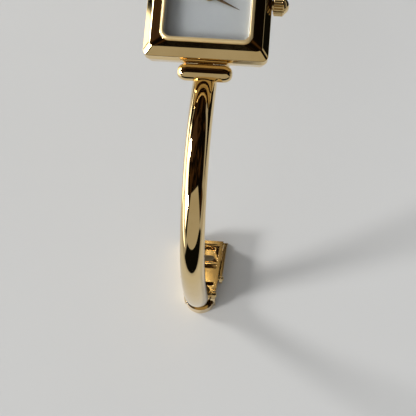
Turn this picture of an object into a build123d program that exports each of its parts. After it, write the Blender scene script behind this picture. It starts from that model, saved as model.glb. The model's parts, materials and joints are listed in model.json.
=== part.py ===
"""Bangle watch: a square gilt quartz watch on two hinged round arms that close with a ladder clasp.

The frame stands on the floor at Z = 0, with +Y towards 12 o'clock, +X towards the crown and the dial
facing up. The arms stand splayed open on their stops, with the clasp unhooked.
"""

import os
from math import cos, radians, sin

from build123d import *

os.makedirs("parts", exist_ok=True)

# Case, in millimetres: its width and length follow from the movement inside it
case_corner = 0.95
flank_height = 1.5
flank_inset = 0.74
bezel_edge_rise = 0.35
band_height = 2.75
band_side_height = 1.15
band_taper = 0.35
band_setback = 0.1
flank_cover = 1.2
end_cover = 1.38
upstand_side_wall = 1.0
upstand_end_wall = 0.3
frame_wall = 0.5
frame_corner = 1.4
frame_rise = 0.38
frame_bevel = 0.2
slope_top_rise = 0.82
fit_gap = 0.03
cut_over = 1.0

# Glass, dial and hands
crystal_corner = 1.05
crystal_thickness = 0.6
crystal_gasket_thickness = 0.15
ledge_width = 0.2
ledge_height = 0.35
dial_thickness = 0.3
dial_margin = 0.3
dial_gap = 0.3
dial_foot_radius = 0.25
dial_foot_length = 0.5
dial_foot_inset = 0.7
minute_hand_length = 4.85
minute_hand_width = 0.46
hour_hand_length = 3.3
hour_hand_width = 0.56
hand_thickness = 0.1
hand_tail = 0.95
hand_boss_radius = 0.85
hand_belly_share = 0.3
minute_hand_angle = 115
hour_hand_angle = 309.6

# Case back
back_border = 0.85
back_corner = 1.3
back_thickness = 0.7
back_ring_height = 0.5
back_ring_wall = 0.5
back_recess = 0.3
back_gasket_height = 0.2
cavity_corner = 1.4

# Crown and stem
crown_drop = 1.8
crown_radius = 1.47
crown_body_length = 1.3
crown_collar_length = 0.12
crown_collar_radius = 1.25
crown_ring_length = 0.15
crown_dome_radius = 1.15
crown_dome_length = 0.68
dome_rise_share = 0.62
dome_width_share = 0.68
crown_flat_radius = 0.08
crown_flutes = 22
flute_radius = 0.12
crown_gap = 0.12
crown_bore_radius = 1.05
crown_bore_depth = 0.75
tube_radius = 0.75
tube_bore = 0.45
stem_radius = 0.35
stem_depth = 2.9
stem_groove_place = 1.7
stem_groove_length = 0.3
stem_groove_radius = 0.2
stem_running_gap = 0.06
clutch_radius = 0.6
clutch_length = 0.9
crown_gasket_thickness = 0.4

# Arms and their hinges
hinge_overhang = 1.23
hinge_drop = 3.12
arm_radius = 1.72
arm_start_angle = 29.2
arm_root_out = 1.0
arm_root_drop = 1.7
arm_top_radius = 51.5
arm_top_angle = 8.1
arm_shoulder_radius = 13.9
arm_shoulder_angle = 105.9
arm_side_radius = 45.2
arm_side_angle = 27.8
bead_length = 7.7
bead_radius = 1.17
bead_waist_radius = 1.03
bead_cheek = 0.75
bead_end_radius = 0.45
cheek_reach_share = 0.72
cheek_height_share = 0.54
arm_pin_radius = 0.35
arm_pin_inset = 0.08
running_gap = 0.06
press_gap = 0.02
eye_radius = 0.72
eye_gap = 0.08
tongue_width = 2.2
tongue_side_gap = 0.1
tongue_thickness = 1.0
tongue_gap = 0.1
arm_swing_angle = 24.0
neck_width = 6.7
neck_height = 1.75
neck_gap = 0.12
neck_corner = 0.5

# Sockets that the arm tips stand in, at both ends of the clasp
socket_radius = 2.35
socket_gap = 0.17
socket_floor = 0.8
socket_rim_rise = 1.0
socket_back = 2.25
ear_radius = 0.95
tip_gap = 0.15
clasp_pin_radius = 0.4
pin_proud = 0.18
pin_dome = 0.16

# Clasp tray
tray_length = 8.6
tray_half_width = 3.0
tray_wall = 0.5
tray_floor = 0.5
tray_wall_rise = 0.95
ladder_gap = 0.15
bar_place = 5.0
bar_width = 1.0
bar_rise = 0.7
cup_place = 7.2
cup_length = 2.2
cup_width = 4.2
cup_corner = 0.7
cup_wall = 0.4
cup_gap = 0.15

# Clasp cover
cover_thickness = 0.45
cover_wall = 0.45
cover_side_gap = 0.12
cover_wall_height = 2.0
cover_pin_place = 3.2
cover_pin_height = 0.75
cover_pin_radius = 0.32
cover_boss_radius = 0.72
cover_edge_gap = 0.2
cover_eye_radius = 0.75
cover_lip = 0.5

# Ladder link
ladder_length = 24.5
ladder_width = 5.6
ladder_thickness = 0.75
ladder_slots = 5
ladder_pitch = 3.9
slot_length = 2.9
slot_width = 4.5
slot_corner = 0.5
ladder_end_margin = 1.1

# Movement
plate_corner = 2.0
plate_thickness = 0.75
plate_gap = 0.05
ring_gap = 0.05
ring_side_wall = 0.4
ring_end_wall = 0.5
ring_height = 2.6
motion_recess_depth = 0.52
motion_distance = 1.9
motion_angle = 200
mesh_gap = 0.03
wheel_thickness = 0.16
level_gap = 0.04
minute_wheel_share = 0.75
hour_wheel_share = 0.8
cannon_radius = 0.33
cannon_bore = 0.2
pipe_radius = 0.52
pipe_gap = 0.06
arbor_radius = 0.14
post_radius = 0.15
train_distance = 2.38
train_ratio = 7.5
train_angle = 60
rotor_distance = 1.8
rotor_ratio = 8.0
rotor_angle = 150
rotor_radius = 0.6
rotor_height = 0.42
rotor_gap = 0.15
stator_thickness = 0.2
stator_arm = 4.03
stator_side = 1.07
stator_foot = 1.06
stator_head = 1.54
coil_radius = 0.65
coil_gap = 0.2
coil_edge = 0.8
coil_half_length = 3.3
coil_flange = 0.6
bridge_thickness = 0.25
bridge_tail = 0.9
bridge_side = 1.4
pillar_radius = 0.5
pillar_edge = 0.7
screw_radius = 0.2
screw_head_radius = 0.38
screw_head_height = 0.14
cell_radius = 3.4
cell_thickness = 1.6
cell_side_gap = 0.3
cell_end_gap = 0.1
cell_cap_radius = 2.7
cell_cap_height = 0.1
clamp_width = 1.5
clamp_thickness = 0.12
clamp_reach = 0.7
board_thickness = 0.2
board_width = 4.0
board_length = 5.2
board_side_gap = 0.5
board_end_gap = 0.6
quartz_radius = 0.45
quartz_length = 4.0
yoke_height = 1.0
yoke_length = 2.1
yoke_leaf = 0.18



def polar(radius, angle):
    """Point at a radius and an angle in degrees."""
    return radius * cos(radians(angle)), radius * sin(radians(angle))


# Train, rotor, stator and coil, from the dial's centre outwards, and the plate that carries them
motion_x, motion_y = polar(motion_distance, motion_angle)
third_x, third_y = polar(train_distance, train_angle)
rotor_x = third_x + polar(rotor_distance, rotor_angle)[0]
rotor_y = third_y + polar(rotor_distance, rotor_angle)[1]
stator_low_x = rotor_x - stator_arm
stator_high_x = rotor_x + stator_side
stator_low_y = rotor_y - stator_foot
stator_high_y = rotor_y + stator_head
coil_place = stator_high_y + coil_gap + coil_radius
plate_width = 2 * (2 * pillar_radius + pillar_edge - stator_low_x)
plate_length = 2 * (coil_place + coil_radius + coil_edge)
cell_x = cell_radius + cell_side_gap - plate_width / 2
cell_y = cell_radius + cell_end_gap - plate_length / 2
board_high_x = plate_width / 2 - board_side_gap
board_low_x = board_high_x - board_width
board_low_y = board_end_gap - plate_length / 2
board_high_y = board_low_y + board_length
dial_foot_reach = plate_width / 2 - dial_foot_inset

# Case round the movement: cavity, upstand, outside, dial, glass and frame
cavity_width = plate_width + 2 * (ring_side_wall + 2 * ring_gap)
cavity_length = plate_length + 2 * (ring_end_wall + 2 * ring_gap)
upstand_width = cavity_width + 2 * upstand_side_wall
upstand_length = cavity_length + 2 * upstand_end_wall
case_width = upstand_width + 2 * flank_cover
case_length = upstand_length + 2 * end_cover
back_width = case_width - 2 * back_border
back_length = case_length - 2 * back_border
dial_width = cavity_width - 2 * dial_gap
dial_length = cavity_length - 2 * dial_gap
crystal_width = dial_width - 2 * dial_margin
crystal_length = dial_length - 2 * dial_margin
frame_width = crystal_width + 2 * frame_wall
frame_length = crystal_length + 2 * frame_wall
hinge_reach = case_length / 2 + hinge_overhang

# Crown and stem, and the plane of the bangle, which puts the box's centre on the Z axis
stem_start = plate_width / 2 - stem_depth
stem_groove_start = stem_start + stem_groove_place
crown_start = case_width / 2 + crown_gap
crown_body_x = crown_start + crown_collar_length
crown_dome_x = crown_body_x + crown_body_length + crown_ring_length
crown_reach = crown_dome_x + crown_dome_length
ring_x = (case_width / 2 - crown_reach) / 2


def level(z):
    """Horizontal plane at a height, centred on the bangle's plane."""
    return Plane((ring_x, 0, z))


def across(x=0):
    """Upright plane square to X, with its own x along Y and its own y along Z."""
    return Plane(origin=(ring_x + x, 0, 0), x_dir=(0, 1, 0), z_dir=(1, 0, 0))


# The arm's line from its hinge to its tip, with the hinge at the origin
with BuildLine() as arm_line:
    top = JernArc((arm_root_out, -arm_root_drop), polar(1, arm_start_angle), arm_top_radius, -arm_top_angle)
    shoulder = JernArc(top @ 1, top % 1, arm_shoulder_radius, -arm_shoulder_angle)
    side = JernArc(shoulder @ 1, shoulder % 1, arm_side_radius, -arm_side_angle)
tip_out = (side @ 1).X
tip_drop = -(side @ 1).Y

# Heights that follow
tip_z = socket_floor + tip_gap + arm_radius
tip_y = hinge_reach + tip_out
hinge_z = tip_z + tip_drop
dial_z = hinge_z + hinge_drop
edge_z = dial_z + bezel_edge_rise
joint_z = edge_z - flank_height
band_z = joint_z - band_height
back_z = band_z + back_recess
crown_z = dial_z - crown_drop
plate_z = dial_z - dial_thickness - plate_gap
plate_low_z = plate_z - plate_thickness
print("width", crown_reach + case_width / 2, "dial height", dial_z, "tip reach", tip_y)

# Bezel: steep flanks, sloped top faces and a raised frame round the glass
with BuildPart() as bezel:
    with BuildSketch(level(joint_z)):
        RectangleRounded(case_width, case_length, case_corner)
    with BuildSketch(level(edge_z)):
        RectangleRounded(case_width - 2 * flank_inset, case_length - 2 * flank_inset, case_corner)
    loft(ruled=True)
    with BuildSketch(level(edge_z)):
        RectangleRounded(case_width - 2 * flank_inset, case_length - 2 * flank_inset, case_corner)
    with BuildSketch(level(dial_z + slope_top_rise)):
        RectangleRounded(frame_width, frame_length, frame_corner)
    loft(ruled=True)
    with BuildSketch(level(dial_z + slope_top_rise)):
        RectangleRounded(frame_width, frame_length, frame_corner)
    extrude(amount=frame_rise)
    chamfer(bezel.faces().sort_by(Axis.Z)[-1].edges(), frame_bevel)
    with BuildSketch(level(joint_z)):
        RectangleRounded(upstand_width + 2 * fit_gap, upstand_length + 2 * fit_gap, cavity_corner)
    extrude(amount=dial_z - joint_z, mode=Mode.SUBTRACT)
    with BuildSketch(level(joint_z)):
        RectangleRounded(crystal_width - 2 * ledge_width, crystal_length - 2 * ledge_width,
                         crystal_corner - ledge_width)
    extrude(amount=flank_height + slope_top_rise + frame_rise + cut_over, mode=Mode.SUBTRACT)
    with BuildSketch(level(dial_z + ledge_height)):
        RectangleRounded(crystal_width + 2 * fit_gap, crystal_length + 2 * fit_gap,
                         crystal_corner + fit_gap)
    extrude(amount=slope_top_rise + frame_rise + cut_over, mode=Mode.SUBTRACT)
    with BuildSketch(across(upstand_width / 2 - cut_over)):
        with Locations((0, crown_z)):
            Circle(tube_radius + fit_gap)
    extrude(amount=flank_cover + 2 * cut_over, mode=Mode.SUBTRACT)
bezel.part.label = "bezel"
export_step(bezel.part, "parts/bezel.step")

# Case middle: the lower band, the upstand inside the bezel, and a neck with a hinge tongue at each end
with BuildPart() as case_middle:
    with BuildSketch(level(band_z)):
        RectangleRounded(case_width - 2 * (band_setback + band_taper),
                         case_length - 2 * (band_setback + band_taper), case_corner - band_setback)
    with BuildSketch(level(joint_z - band_side_height)):
        RectangleRounded(case_width - 2 * band_setback, case_length - 2 * band_setback,
                         case_corner - band_setback)
    loft(ruled=True)
    with BuildSketch(level(joint_z - band_side_height)):
        RectangleRounded(case_width - 2 * band_setback, case_length - 2 * band_setback,
                         case_corner - band_setback)
    extrude(amount=band_side_height)
    with BuildSketch(level(joint_z)):
        RectangleRounded(upstand_width, upstand_length, cavity_corner)
    extrude(amount=dial_z - joint_z - fit_gap)
    with BuildSketch(level(band_z)):
        RectangleRounded(neck_width, 2 * (hinge_reach - bead_waist_radius - neck_gap), neck_corner)
    extrude(amount=neck_height)
    for way in (1, -1):
        with BuildSketch(across(-bead_length / 2)):
            with Locations((way * hinge_reach, hinge_z)):
                Circle(bead_radius + neck_gap)
        extrude(amount=bead_length, mode=Mode.SUBTRACT)
        with BuildSketch(across(-tongue_width / 2)):
            with Locations((way * hinge_reach, hinge_z)):
                Circle(eye_radius)
            with Locations((way * (hinge_reach + upstand_length / 2) / 2, hinge_z)):
                Rectangle(hinge_reach - upstand_length / 2, tongue_thickness)
        extrude(amount=tongue_width)
        with BuildSketch(across(-bead_length / 2)):
            with Locations((way * hinge_reach, hinge_z)):
                Circle(arm_pin_radius + running_gap)
        extrude(amount=bead_length, mode=Mode.SUBTRACT)
    with BuildSketch(level(band_z - cut_over - bead_radius)):
        RectangleRounded(cavity_width, cavity_length, cavity_corner)
    extrude(amount=dial_z - band_z + 2 * cut_over + bead_radius, mode=Mode.SUBTRACT)
    with BuildSketch(level(band_z - cut_over)):
        RectangleRounded(back_width + 2 * fit_gap, back_length + 2 * fit_gap, back_corner)
    extrude(amount=cut_over + back_recess, mode=Mode.SUBTRACT)
    with BuildSketch(across(cavity_width / 2 - cut_over)):
        with Locations((0, crown_z)):
            Circle(tube_radius + fit_gap)
    extrude(amount=flank_cover + 2 * cut_over, mode=Mode.SUBTRACT)
case_middle.part.label = "case_middle"
export_step(case_middle.part, "parts/case_middle.step")

# Crystal and the flat gasket under its edge
with BuildPart() as crystal_gasket:
    with BuildSketch(level(dial_z + ledge_height)):
        RectangleRounded(crystal_width, crystal_length, crystal_corner)
        RectangleRounded(crystal_width - 2 * ledge_width, crystal_length - 2 * ledge_width,
                         crystal_corner - ledge_width, mode=Mode.SUBTRACT)
    extrude(amount=crystal_gasket_thickness)
crystal_gasket.part.label = "crystal_gasket"
export_step(crystal_gasket.part, "parts/crystal_gasket.step")

with BuildPart() as crystal:
    with BuildSketch(level(dial_z + ledge_height + crystal_gasket_thickness)):
        RectangleRounded(crystal_width, crystal_length, crystal_corner)
    extrude(amount=crystal_thickness)
crystal.part.label = "crystal"
export_step(crystal.part, "parts/crystal.step")

# Case back: a snap-on plate with a raised ring inside, and its gasket
with BuildPart() as case_back:
    with BuildSketch(level(back_z - back_thickness)):
        RectangleRounded(back_width, back_length, back_corner)
    extrude(amount=back_thickness)
    chamfer(case_back.faces().sort_by(Axis.Z)[0].edges(), back_thickness / 4)
    ring_width = cavity_width - 2 * fit_gap
    ring_length = cavity_length - 2 * fit_gap
    with BuildSketch(level(back_z)):
        RectangleRounded(ring_width, ring_length, cavity_corner)
        RectangleRounded(ring_width - 2 * back_ring_wall, ring_length - 2 * back_ring_wall,
                         cavity_corner - back_ring_wall, mode=Mode.SUBTRACT)
    extrude(amount=back_ring_height - back_gasket_height)
case_back.part.label = "case_back"
export_step(case_back.part, "parts/case_back.step")

with BuildPart() as back_gasket:
    with BuildSketch(level(back_z + back_ring_height - back_gasket_height)):
        RectangleRounded(ring_width, ring_length, cavity_corner)
        RectangleRounded(ring_width - 2 * back_ring_wall, ring_length - 2 * back_ring_wall,
                         cavity_corner - back_ring_wall, mode=Mode.SUBTRACT)
    extrude(amount=back_gasket_height)
back_gasket.part.label = "back_gasket"
export_step(back_gasket.part, "parts/back_gasket.step")

# Motion work: gears as plain discs at their pitch radii, less half the mesh gap
minute_wheel_radius = motion_distance * minute_wheel_share - mesh_gap / 2
cannon_head_radius = motion_distance * (1 - minute_wheel_share) - mesh_gap / 2
hour_wheel_radius = motion_distance * hour_wheel_share - mesh_gap / 2
minute_pinion_radius = motion_distance * (1 - hour_wheel_share) - mesh_gap / 2
recess_z = plate_z - motion_recess_depth
lower_wheel_z = recess_z + level_gap
upper_wheel_z = lower_wheel_z + wheel_thickness + level_gap
hour_hand_z = dial_z + level_gap * 2
minute_hand_z = hour_hand_z + hand_thickness + level_gap * 2

# Train under the plate: centre wheel, third wheel and rotor
third_pinion_radius = train_distance / (1 + train_ratio) - mesh_gap / 2
centre_wheel_radius = train_distance - train_distance / (1 + train_ratio) - mesh_gap / 2
rotor_pinion_radius = rotor_distance / (1 + rotor_ratio) - mesh_gap / 2
third_wheel_radius = rotor_distance - rotor_distance / (1 + rotor_ratio) - mesh_gap / 2
centre_wheel_z = plate_low_z - 2 * level_gap - wheel_thickness
third_wheel_z = centre_wheel_z - 2 * level_gap - wheel_thickness
rotor_z = third_wheel_z - 2 * level_gap - rotor_height
bridge_z = rotor_z - 2 * level_gap
cell_z = centre_wheel_z - 2 * level_gap

# Dial with its feet and centre hole
with BuildPart() as dial:
    with BuildSketch(level(dial_z - dial_thickness)):
        RectangleRounded(dial_width, dial_length, crystal_corner)
        Circle(pipe_radius + pipe_gap, mode=Mode.SUBTRACT)
    extrude(amount=dial_thickness - fit_gap)
    with BuildSketch(level(dial_z - dial_thickness - dial_foot_length)):
        with Locations((dial_foot_reach, dial_foot_reach), (-dial_foot_reach, -dial_foot_reach)):
            Circle(dial_foot_radius)
    extrude(amount=dial_foot_length)
dial.part.label = "dial"
export_step(dial.part, "parts/dial.step")


def hand(length, width, bore, z, angle):
    """A leaf hand with a short tail and a round boss, lying at a clock angle."""
    with BuildPart() as piece:
        with BuildSketch(level(z).rotated((0, 0, -angle))):
            with BuildLine():
                Polyline((0, length), (width / 2, length * hand_belly_share), (width / 4, 0),
                         (width / 4, -hand_tail), (-width / 4, -hand_tail), (-width / 4, 0),
                         (-width / 2, length * hand_belly_share), (0, length))
            make_face()
            Circle(hand_boss_radius)
            Circle(bore, mode=Mode.SUBTRACT)
        extrude(amount=hand_thickness)
    return piece


hour_hand = hand(hour_hand_length, hour_hand_width, pipe_radius + press_gap, hour_hand_z, hour_hand_angle)
hour_hand.part.label = "hour_hand"
export_step(hour_hand.part, "parts/hour_hand.step")

minute_hand = hand(minute_hand_length, minute_hand_width, cannon_radius + press_gap, minute_hand_z,
                   minute_hand_angle)
minute_hand.part.label = "minute_hand"
export_step(minute_hand.part, "parts/minute_hand.step")

# Cannon pinion: a tube for the minute hand with the driving pinion at its foot
with BuildPart() as cannon_pinion:
    with BuildSketch(level(lower_wheel_z)):
        Circle(cannon_head_radius)
    extrude(amount=wheel_thickness)
    with BuildSketch(level(lower_wheel_z)):
        Circle(cannon_radius)
    extrude(amount=minute_hand_z + 2 * hand_thickness - lower_wheel_z)
    with BuildSketch(level(lower_wheel_z)):
        Circle(cannon_bore)
    extrude(amount=minute_hand_z + hand_thickness - lower_wheel_z, mode=Mode.SUBTRACT)
cannon_pinion.part.label = "cannon_pinion"
export_step(cannon_pinion.part, "parts/cannon_pinion.step")

with BuildPart() as hour_wheel:
    with BuildSketch(level(upper_wheel_z)):
        Circle(hour_wheel_radius)
    extrude(amount=wheel_thickness)
    with BuildSketch(level(upper_wheel_z)):
        Circle(pipe_radius)
    extrude(amount=hour_hand_z + hand_thickness - upper_wheel_z)
    with BuildSketch(level(upper_wheel_z)):
        Circle(cannon_radius + running_gap)
    extrude(amount=hour_hand_z + hand_thickness - upper_wheel_z, mode=Mode.SUBTRACT)
hour_wheel.part.label = "hour_wheel"
export_step(hour_wheel.part, "parts/hour_wheel.step")

with BuildPart() as minute_wheel:
    with BuildSketch(level(lower_wheel_z)):
        with Locations((motion_x, motion_y)):
            Circle(minute_wheel_radius)
    extrude(amount=wheel_thickness)
    with BuildSketch(level(lower_wheel_z)):
        with Locations((motion_x, motion_y)):
            Circle(minute_pinion_radius)
    extrude(amount=upper_wheel_z + wheel_thickness - lower_wheel_z)
    with BuildSketch(level(lower_wheel_z)):
        with Locations((motion_x, motion_y)):
            Circle(post_radius + running_gap)
    extrude(amount=upper_wheel_z + wheel_thickness - lower_wheel_z, mode=Mode.SUBTRACT)
minute_wheel.part.label = "minute_wheel"
export_step(minute_wheel.part, "parts/minute_wheel.step")

# Main plate, with the recess and post of the motion work and the holes of the train and dial feet
with BuildPart() as main_plate:
    with BuildSketch(level(plate_low_z)):
        RectangleRounded(plate_width, plate_length, plate_corner)
    extrude(amount=plate_thickness)
    with BuildSketch(level(recess_z)):
        Circle(hour_wheel_radius + 2 * level_gap)
        with Locations((motion_x, motion_y)):
            Circle(minute_wheel_radius + 2 * level_gap)
    extrude(amount=motion_recess_depth, mode=Mode.SUBTRACT)
    with BuildSketch(level(recess_z)):
        with Locations((motion_x, motion_y)):
            Circle(post_radius)
    extrude(amount=motion_recess_depth - level_gap)
    with BuildSketch(level(plate_low_z)):
        Circle(arbor_radius + running_gap)
        with Locations((third_x, third_y)):
            Circle(arbor_radius + running_gap)
        with Locations((dial_foot_reach, dial_foot_reach), (-dial_foot_reach, -dial_foot_reach)):
            Circle(dial_foot_radius + fit_gap)
    extrude(amount=plate_thickness, mode=Mode.SUBTRACT)
main_plate.part.label = "main_plate"
export_step(main_plate.part, "parts/main_plate.step")

# Movement ring, which holds the movement in the case, with a slot for the stem
with BuildPart() as movement_ring:
    with BuildSketch(level(plate_z - ring_height)):
        RectangleRounded(cavity_width - 2 * ring_gap, cavity_length - 2 * ring_gap,
                         cavity_corner - ring_gap)
        RectangleRounded(plate_width + 2 * ring_gap, plate_length + 2 * ring_gap, plate_corner,
                         mode=Mode.SUBTRACT)
    extrude(amount=ring_height)
    with BuildSketch(across(plate_width / 2 - cut_over)):
        with Locations((0, crown_z)):
            Circle(tube_radius)
    extrude(amount=2 * cut_over, mode=Mode.SUBTRACT)
movement_ring.part.label = "movement_ring"
export_step(movement_ring.part, "parts/movement_ring.step")

with BuildPart() as centre_wheel:
    with BuildSketch(level(centre_wheel_z)):
        Circle(centre_wheel_radius)
    extrude(amount=wheel_thickness)
    with BuildSketch(level(bridge_z - bridge_thickness + level_gap)):
        Circle(arbor_radius)
    extrude(amount=minute_hand_z - bridge_z + bridge_thickness - level_gap)
centre_wheel.part.label = "centre_wheel"
export_step(centre_wheel.part, "parts/centre_wheel.step")

with BuildPart() as third_wheel:
    with BuildSketch(level(third_wheel_z)):
        with Locations((third_x, third_y)):
            Circle(third_wheel_radius)
    extrude(amount=wheel_thickness)
    with BuildSketch(level(third_wheel_z)):
        with Locations((third_x, third_y)):
            Circle(third_pinion_radius)
    extrude(amount=centre_wheel_z + wheel_thickness - third_wheel_z)
    with BuildSketch(level(bridge_z - bridge_thickness + level_gap)):
        with Locations((third_x, third_y)):
            Circle(arbor_radius)
    extrude(amount=plate_low_z + plate_thickness / 4 - bridge_z + bridge_thickness - level_gap)
third_wheel.part.label = "third_wheel"
export_step(third_wheel.part, "parts/third_wheel.step")

with BuildPart() as rotor:
    with BuildSketch(level(rotor_z)):
        with Locations((rotor_x, rotor_y)):
            Circle(rotor_radius)
    extrude(amount=rotor_height)
    with BuildSketch(level(rotor_z)):
        with Locations((rotor_x, rotor_y)):
            Circle(rotor_pinion_radius)
    extrude(amount=plate_low_z - level_gap - rotor_z)
    with BuildSketch(level(bridge_z - bridge_thickness + level_gap)):
        with Locations((rotor_x, rotor_y)):
            Circle(arbor_radius)
    extrude(amount=rotor_z - bridge_z + bridge_thickness - level_gap)
rotor.part.label = "rotor"
export_step(rotor.part, "parts/rotor.step")

# Stator plate round the rotor, and the coil whose flanges touch the stator
stator_z = rotor_z + (rotor_height - stator_thickness) / 2
with BuildPart() as stator:
    with BuildSketch(level(stator_z)):
        with Locations(((stator_low_x + stator_high_x) / 2, (stator_low_y + stator_high_y) / 2)):
            Rectangle(stator_high_x - stator_low_x, stator_high_y - stator_low_y)
        with Locations((rotor_x, rotor_y)):
            Circle(rotor_radius + rotor_gap, mode=Mode.SUBTRACT)
    extrude(amount=stator_thickness)
stator.part.label = "stator"
export_step(stator.part, "parts/stator.step")

coil_z = stator_z + stator_thickness / 2
coil_middle = (stator_low_x + stator_high_x) / 2
with BuildPart() as coil:
    with BuildSketch(across(coil_middle - coil_half_length)):
        with Locations((coil_place, coil_z)):
            Circle(coil_radius)
    extrude(amount=2 * coil_half_length)
    for flange_x in (coil_middle - coil_half_length, coil_middle + coil_half_length - coil_flange):
        with BuildSketch(across(flange_x)):
            with Locations(((stator_high_y + coil_place + coil_radius) / 2, coil_z)):
                Rectangle(coil_place + coil_radius - stator_high_y, stator_thickness)
        extrude(amount=coil_flange)
coil.part.label = "coil"
export_step(coil.part, "parts/coil.step")

# Train bridge on two pillars, clear of the battery cell, and its screws
bridge_low_x = stator_low_x - 2 * pillar_radius
bridge_high_x = third_x + bridge_side
bridge_low_y = -bridge_tail
pillar_places = [(stator_low_x - pillar_radius, stator_low_y), (bridge_high_x, stator_high_y)]
with BuildPart() as train_bridge:
    with BuildSketch(level(bridge_z - bridge_thickness)):
        with Locations(((bridge_low_x + bridge_high_x) / 2, (bridge_low_y + stator_high_y) / 2)):
            Rectangle(bridge_high_x - bridge_low_x, stator_high_y - bridge_low_y)
        with Locations(*pillar_places):
            Circle(pillar_radius)
        with Locations((cell_x, cell_y)):
            Circle(cell_radius + ring_gap, mode=Mode.SUBTRACT)
    extrude(amount=bridge_thickness)
    with BuildSketch(level(bridge_z)):
        with Locations(*pillar_places):
            Circle(pillar_radius)
    extrude(amount=plate_low_z - bridge_z)
    with BuildSketch(level(bridge_z - bridge_thickness)):
        with Locations(*pillar_places):
            Circle(screw_radius + fit_gap)
        with Locations((0, 0), (third_x, third_y), (rotor_x, rotor_y)):
            Circle(arbor_radius + running_gap)
    extrude(amount=plate_low_z - bridge_z + bridge_thickness, mode=Mode.SUBTRACT)
train_bridge.part.label = "train_bridge"
export_step(train_bridge.part, "parts/train_bridge.step")

with BuildPart() as bridge_screws:
    with BuildSketch(level(bridge_z - bridge_thickness - screw_head_height)):
        with Locations(*pillar_places):
            Circle(screw_head_radius)
    extrude(amount=screw_head_height)
    with BuildSketch(level(bridge_z - bridge_thickness)):
        with Locations(*pillar_places):
            Circle(screw_radius)
    extrude(amount=plate_low_z - bridge_z + bridge_thickness - fit_gap)
bridge_screws.part.label = "bridge_screws"
export_step(bridge_screws.part, "parts/bridge_screws.step")

# Battery cell with its stepped cap, and the clamp that presses it from the back
with BuildPart() as battery_cell:
    with BuildSketch(level(cell_z - cell_thickness)):
        with Locations((cell_x, cell_y)):
            Circle(cell_radius)
    extrude(amount=cell_thickness - cell_cap_height)
    with BuildSketch(level(cell_z - cell_cap_height)):
        with Locations((cell_x, cell_y)):
            Circle(cell_cap_radius)
    extrude(amount=cell_cap_height)
battery_cell.part.label = "battery_cell"
export_step(battery_cell.part, "parts/battery_cell.step")

clamp_low_x = cell_x - cell_radius + clamp_reach
clamp_high_x = cell_x + cell_radius + clamp_reach
with BuildPart() as battery_clamp:
    with BuildSketch(level(cell_z - cell_thickness - clamp_thickness)):
        with Locations(((clamp_low_x + clamp_high_x) / 2, cell_y)):
            Rectangle(clamp_high_x - clamp_low_x, clamp_width)
    extrude(amount=clamp_thickness)
    with BuildSketch(level(cell_z - cell_thickness)):
        with Locations((clamp_high_x - clamp_thickness / 2, cell_y)):
            Rectangle(clamp_thickness, clamp_width)
    extrude(amount=plate_low_z - cell_z + cell_thickness)
battery_clamp.part.label = "battery_clamp"
export_step(battery_clamp.part, "parts/battery_clamp.step")

# Circuit board on the free side of the cell, with the quartz can above it
quartz_z = plate_low_z - level_gap - quartz_radius
board_z = quartz_z - quartz_radius - board_thickness
with BuildPart() as circuit_board:
    with BuildSketch(level(board_z)):
        with Locations(((board_low_x + board_high_x) / 2, (board_low_y + board_high_y) / 2)):
            RectangleRounded(board_high_x - board_low_x, board_high_y - board_low_y, quartz_radius)
        with Locations((cell_x, cell_y)):
            Circle(cell_radius + clamp_reach + clamp_thickness, mode=Mode.SUBTRACT)
    extrude(amount=board_thickness)
circuit_board.part.label = "circuit_board"
export_step(circuit_board.part, "parts/circuit_board.step")

with BuildPart() as quartz_can:
    with BuildSketch(Plane(origin=(ring_x + (board_low_x + board_high_x) / 2,
                                   board_low_y + quartz_radius, quartz_z),
                           x_dir=(1, 0, 0), z_dir=(0, 1, 0))):
        Circle(quartz_radius)
    extrude(amount=quartz_length)
quartz_can.part.label = "quartz_can"
export_step(quartz_can.part, "parts/quartz_can.step")

# Crown: fluted body, bright ring and dome, hollow over the case tube
with BuildPart() as crown:
    crown_axis = Axis((ring_x, 0, crown_z), (1, 0, 0))
    ring_start = crown_body_x + crown_body_length
    ring_radius = (crown_radius + crown_dome_radius) / 2
    with BuildSketch(Plane(origin=crown_axis.position, x_dir=(1, 0, 0), z_dir=(0, -1, 0))):
        with BuildLine():
            Polyline((crown_start, 0), (crown_start, crown_collar_radius),
                     (crown_body_x, crown_collar_radius), (crown_body_x, crown_radius),
                     (ring_start, crown_radius), (ring_start, ring_radius),
                     (crown_dome_x, ring_radius), (crown_dome_x, crown_dome_radius))
            ThreePointArc((crown_dome_x, crown_dome_radius),
                          (crown_dome_x + crown_dome_length * dome_rise_share,
                           crown_dome_radius * dome_width_share),
                          (crown_reach, crown_flat_radius))
            Polyline((crown_reach, crown_flat_radius), (crown_reach, 0), (crown_start, 0))
        make_face()
    revolve(axis=crown_axis)
    with BuildSketch(across(crown_body_x)):
        with Locations((0, crown_z)):
            with PolarLocations(crown_radius, crown_flutes):
                Circle(flute_radius)
    extrude(amount=crown_body_length, mode=Mode.SUBTRACT)
    with BuildSketch(across(crown_start)):
        with Locations((0, crown_z)):
            Circle(crown_bore_radius)
    extrude(amount=crown_bore_depth, mode=Mode.SUBTRACT)
    with BuildSketch(across(crown_start)):
        with Locations((0, crown_z)):
            Circle(stem_radius + press_gap)
    extrude(amount=crown_bore_depth + crown_body_length / 2, mode=Mode.SUBTRACT)
crown.part.label = "crown"
export_step(crown.part, "parts/crown.step")

with BuildPart() as crown_gasket:
    with BuildSketch(across(crown_start + crown_bore_depth - crown_gasket_thickness)):
        with Locations((0, crown_z)):
            Circle(crown_bore_radius - fit_gap)
            Circle(stem_radius + press_gap, mode=Mode.SUBTRACT)
    extrude(amount=crown_gasket_thickness)
crown_gasket.part.label = "crown_gasket"
export_step(crown_gasket.part, "parts/crown_gasket.step")

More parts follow.
